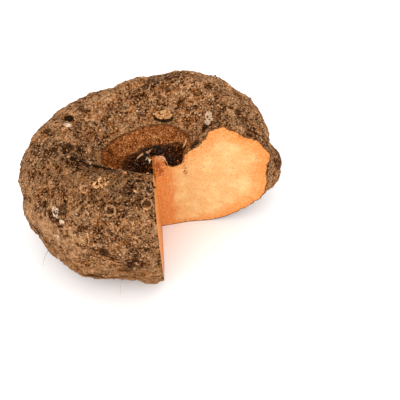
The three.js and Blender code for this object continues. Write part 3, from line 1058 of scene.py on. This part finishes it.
class SkinPaint(Paint):
    """The skin's material. Its methods lay on one kind of marking each, from the cork outwards."""

    def __init__(self):
        super().__init__("skin")
        self.coarse = self.noise(4.6, detail=2, distortion=0.3)
        self.mid = self.noise(2.1, detail=1, distortion=0.3)
        self.fine = self.noise(1.05, detail=1, roughness=0.6)
        self.height = self.coarse + self.mid + self.fine
        self.far_slope = self.mask("far_slope")
        self.low = self.mask("low")
        self.plain = self.mask("plain")
        self.calmness = 1.0 - (0.45 * self.low + 0.3 * self.plain)
        self.painted_shade = self.mask("painted_shade")

    def cork(self):
        """Patches and grain, with painted shade from the relief: crests paler than crevices, and thin dark
        wrinkles.
        """
        broad = self.noise(13, detail=2)
        streak = self.noise(2.4, detail=2, stretch=(0.45, 0.45, 1.8))
        wrinkle = self.creases((0.024, 0.0), 5.2, detail=3)
        relief = self.mask("relief")
        # painted shade: the relief and the wrinkles darken the tone in crevices and lighten it on crests
        tone = broad.swing(1.25) + self.coarse.swing(0.85) + 0.11 * relief - 0.28 * wrinkle + 0.515
        tone += (self.mid.swing(0.75) + self.fine.swing(2.1)) * self.calmness + streak.swing(1.2) * self.low
        # the last term is painted shade over the near ring's top and low down by the left-hand cut
        tone += 0.07 * self.far_slope + 0.30 * self.low - 0.06 * self.plain - 0.1 * self.painted_shade
        self.colour = self.ramp(tone, *CORK_TONES)

        # Grey-olive over the shoulders, redder down the pit's slopes, painted shade in the hollows
        calm = tone.rise(0.2, 0.45)
        shoulder = 1.0 - 0.8 * self.far_slope
        self.cover(OLIVE, 0.65 * self.noise(8, detail=3).rise(0.42, 0.6) * shoulder * calm)
        warm = self.noise(3.6, detail=2) + 0.06 * self.far_slope
        self.cover(RUST, 0.5 * warm.rise(0.53, 0.66) * calm)
        self.cover(DARK_BROWN, 0.5 * relief.rise(-0.7, -2.4))

        # Short pale strokes along the edges of the cork's scales
        stroke = self.creases((0.038, 0.012), 3.2, detail=2, distortion=0.6)
        self.cover(STRAW, 0.75 * stroke * self.coarse.rise(0.44, 0.54))
        self.height -= 0.3 * wrinkle

    def low_skin(self):
        """Smoother tan skin low down, paler on the left flank."""
        self.cover(self.ramp(self.mid, *LOW_TONES), 0.7 * self.low * self.coarse.rise(0.34, 0.5))
        flank = self.mask("flank") + self.coarse.swing(1.4)
        self.cover(self.ramp(self.mid, (0.35, BARK_TAN), (0.6, STRAW)), 0.6 * flank.rise(0.25, 0.7))

    def root_scars(self):
        """The modelled rings and stubs, then painted ones between them."""
        self.cover(STRAW, 0.5 * self.mask("ring") * self.mid.rise(0.40, 0.56))
        self.cover(DARK_BROWN, 0.75 * self.mask("stub") * self.fine.rise(0.62, 0.42))
        warped = self.warped(2.4, 0.6)
        distance, random, _ = self.cells(8.4, warped)
        kept = random.rise(0.35, 0.37) * self.coarse.rise(0.36, 0.5)
        pit = distance.rise(0.25, 0.15) * kept
        edge = distance.rise(0.24, 0.29) * distance.rise(0.36, 0.30) * kept
        self.cover(DARK_BROWN, 0.85 * pit * self.fine.rise(0.66, 0.42))
        self.cover(STRAW, 0.7 * edge * self.mid.rise(0.40, 0.5))
        self.height += 0.35 * edge - 0.35 * pit

        # Small rings, mostly over the shoulders
        distance, random, other = self.cells(4.4, warped)
        kept = (random - 0.3 * self.far_slope).rise(0.25, 0.27)
        rim = distance.rise(0.17, 0.22) * distance.rise(0.31, 0.24) * kept
        shade = distance.rise(0.48, 0.34) * kept
        self.cover(DARK_BROWN, 0.4 * shade * self.calmness)
        self.cover(self.ramp(other, (0.2, BARK_TAN), (0.8, STRAW)), 0.85 * rim * self.mid.rise(0.3, 0.46))
        self.cover(DARK_BROWN, 0.7 * distance.rise(0.19, 0.12) * kept)
        self.height += 0.35 * rim - 0.2 * shade

        # Bright dots, mostly down the pit's slopes
        distance, random, other = self.cells(2.5, warped)
        kept = (random + 0.34 * self.far_slope).rise(0.74, 0.76)
        dot = distance.rise(0.33, 0.22) * kept
        shade = distance.rise(0.5, 0.38) * kept
        self.cover(DARK_BROWN, 0.5 * shade * self.calmness)
        self.cover(self.ramp(other, *DOT_TONES), 0.92 * dot)
        self.height += 0.35 * dot - 0.2 * shade

    def specks_glints_and_shade(self):
        """Small pale specks all over, partly painted glints, and painted shade over the near ring's top and
        low down by the left-hand cut.
        """
        # the pale specks stand partly for painted glints on the cork's flakes
        distance, random, other = self.cells(1.7)
        speck = distance.rise(0.34, 0.2) * random.rise(0.72, 0.74) * self.calmness
        self.cover(self.ramp(other, (0.2, BARK_TAN), (0.9, CREAM)), 0.8 * speck)
        # painted shade, multiplied over the near ring's top and over a patch low down by the left-hand cut
        self.cover(SHADE_TINT, self.painted_shade, blend="MULTIPLY")

    def pit(self):
        """The smooth scar, with painted shade towards its left end and in the groove inside its edge, its
        pale rim, the black zone round the bud with a line of painted shade along its edge, and a bruise.
        """
        scar = self.mask("scar")
        tone = self.noise(0.7, detail=1).swing(2.4) + self.mid.swing(0.8) + self.coarse.swing(0.9)
        # the scar's tone is lowered towards its left end as painted shade
        self.cover(self.ramp(tone - 0.24 * self.mask("shade") + 0.53, *SCAR_TONES), scar)
        # painted shade in the thin groove just inside the scar's edge
        self.cover(GROOVE_SHADE, 0.6 * self.mask("line"))
        self.cover(SCAR_RIM, 0.65 * self.mask("rim") * self.fine.rise(0.35, 0.5))
        tone = self.fine.swing(1.9) + self.mid.swing(1.2) + 0.5
        self.cover(self.ramp(tone, *BUD_TONES), self.mask("bud"))
        # a near-black line of painted shade along the foot of the scales
        self.cover(BLACK_BROWN, 0.92 * self.mask("groove"))
        self.cover(BRUISE_ORANGE, 0.85 * (self.mask("bruise") + self.mid.swing(0.8)).rise(0.4, 0.6))
        self.height *= 1.0 - 0.55 * scar

    def patches(self):
        """Pale rings, then the patches of each tone. The grain breaks up their edges."""
        broken = self.mid.swing(1.3) + self.fine.swing(0.7)
        self.cover(STRAW, 0.6 * (self.mask("halo") + 0.9 * broken).rise(0.36, 0.66))
        grained = self.mid.swing(1.5) + self.fine.swing(1.0) + 0.5
        ash_grain = grained + 0.3 * self.mask("ash") - 0.27
        patches = (
            ("dark", self.ramp(grained, *DARK_TONES), 1.0),
            # the black patches include painted shadow under the oval bud and along the near ring's lip
            ("black", BLACK_BROWN, 0.7),
            ("ash", self.ramp(ash_grain, *ASH_TONES), 0.8),
            ("cream", self.ramp(grained, *CREAM_TONES), 0.4),
        )
        for name, colour, raggedness in patches:
            self.cover(colour, 0.94 * (self.mask(name) + raggedness * broken).rise(0.42, 0.6))


def skin_material():
    """Corky skin with root scars and patches, and the smooth scar and dark scales of the pit."""
    paint = SkinPaint()
    paint.cork()
    paint.low_skin()
    paint.root_scars()
    paint.specks_glints_and_shade()
    paint.pit()
    paint.patches()
    return paint.finish(paint.height, 1.6, {"Roughness": 0.8, "Specular IOR Level": 0.02})


def flesh_material():
    """Moist flesh: pale in the middle, deeper orange under the skin, and deeper orange towards the core,
    partly as painted shade in the notch's inner corner.
    """
    paint = Paint("flesh")
    depth, core = paint.mask("depth"), paint.mask("core")
    cloud = paint.noise(9, detail=3)
    soft = paint.noise(3.2, detail=3)
    fine = paint.noise(0.8, detail=1)
    grainy = paint.noise(1.5, detail=3, roughness=0.65)

    wander = depth + 5.0 * core.rise(50.0, 20.0) + cloud.swing(12.0) + soft.swing(5.0)
    paint.colour = PEACH
    paint.cover(PALE_FLESH, cloud.rise(0.44, 0.66))
    paint.cover(RIM_ORANGE, 0.95 * wander.rise(14.5, 2.0))
    # deeper orange near the core: partly the flesh's own colour, partly painted shade in the inner corner
    # where the cuts meet
    paint.cover(CORE_ORANGE, 0.9 * (core + cloud.swing(10.0)).rise(15.0, 6.0))
    paint.cover(CORE_ORANGE, 0.7 * wander.rise(2.4, -0.5))
    # the left cut face deeper orange all over: partly the flesh near the rind, partly painted shade on that
    # face
    paint.cover(LEFT_FACE_ORANGE_AND_SHADE, 0.95 * paint.mask("left"))

    # Fibres and cells: fine grain, dark specks and pores, and crumbs near the skin
    paint.cover(PALE_FLESH, 0.5 * fine.rise(0.5, 0.66))
    paint.cover(CORE_ORANGE, 0.35 * fine.rise(0.46, 0.32))
    paint.cover(RIM_ORANGE, 0.4 * grainy.rise(0.53, 0.68))
    distance, random, _ = paint.cells(3.4, paint.warped(1.5, 0.4))
    speck = distance.rise(0.12, 0.06) * random.rise(0.55, 0.6)
    paint.cover(UMBER, 0.7 * speck)
    distance, random, _ = paint.cells(1.9)
    paint.cover(PORE_BROWN, 0.5 * distance.rise(0.24, 0.1) * random.rise(0.3, 0.35))
    paint.cover(CRUMB_BROWN, 0.7 * depth.rise(5.0, 1.5) * paint.noise(1.3, detail=2).rise(0.58, 0.66))
    # painted shade below the shoot bud, and brown specks below the notch
    paint.cover(SHADE_SPECK_BROWN, 0.85 * (paint.mask("shade_specks") + grainy.swing(2.4)).rise(0.45, 0.7))
    paint.cover(UMBER, 0.9 * (depth + grainy.swing(2.4)).rise(0.75, 0.35))
    settings = {"Roughness": 0.5, "Specular IOR Level": 0.1}
    settings |= {"Subsurface Weight": 0.1, "Subsurface Radius": (0.004, 0.002, 0.0008)}
    return paint.finish(0.5 * fine + grainy - 0.5 * speck, 0.4, settings)


def shred_material():
    """Dry scales, flakes, stubs and fibres, coloured by each one's tint."""
    paint = Paint("shreds")
    speckle = paint.noise(0.6, detail=2)
    paint.colour = paint.ramp(paint.mask("tint") + 0.3 * speckle - 0.15, *SHRED_TONES)
    return paint.finish(speckle, 0.2, {"Roughness": 0.75, "Specular IOR Level": 0.2})


# ---------- floor, light and camera

LENS = 84.0
CAMERA_DISTANCE = 600.0
CAMERA_ELEVATION = 47.0
LOOK_AT = Vector((33.4, 19.2, 0.0))
KEY_PLACE = Vector((-0.2, -0.95, 0.85))  # this and the two sizes below are in metres
KEY_SIZE = 1.0
KEY_POWER = 4.4
SKY_STRENGTH = 1.4
FLOOR_SIZE = 6


def add_floor():
    """A pale floor, wider than the view."""
    bpy.ops.mesh.primitive_plane_add(size=FLOOR_SIZE)
    floor = bpy.context.object
    floor.name = "floor"
    material = bpy.data.materials.new("floor")
    material.use_nodes = True
    shader = material.node_tree.nodes["Principled BSDF"]
    shader.inputs["Base Color"].default_value = (0.95, 0.95, 0.95, 1)
    shader.inputs["Roughness"].default_value = 0.9
    floor.data.materials.append(material)


def add_pointing(data, place, direction):
    """Puts a light or camera at a place, looking in a direction."""
    thing = bpy.data.objects.new(data.name, data)
    thing.location = place
    thing.rotation_euler = direction.to_track_quat("-Z", "Y").to_euler()
    bpy.context.scene.collection.objects.link(thing)
    return thing


def add_camera():
    """The camera stands in front and looks down at the place LOOK_AT."""
    elevation = math.radians(CAMERA_ELEVATION)
    back = Vector((0, -math.cos(elevation), math.sin(elevation)))
    data = bpy.data.cameras.new("camera")
    data.sensor_width = 36
    data.lens = LENS
    bpy.context.scene.camera = add_pointing(data, (LOOK_AT + back * CAMERA_DISTANCE) * MM, -back)


def add_lights():
    """One soft key light from the front left, and an even white sky."""
    data = bpy.data.lights.new("key", "AREA")
    data.energy = KEY_POWER
    data.size = KEY_SIZE
    add_pointing(data, KEY_PLACE, -KEY_PLACE)
    sky = bpy.data.worlds.new("studio")
    sky.use_nodes = True
    background = sky.node_tree.nodes["Background"]
    background.inputs["Color"].default_value = (1, 1, 1, 1)
    background.inputs["Strength"].default_value = SKY_STRENGTH
    bpy.context.scene.world = sky


# ---------- the scene

corm_skin = Skin()
build_corm(corm_skin)
bud_scales(corm_skin)
cut_fibres()
skin_flakes(corm_skin)
root_remains(corm_skin)

add_floor()
add_camera()
add_lights()
bpy.context.scene.view_settings.view_transform = "Standard"
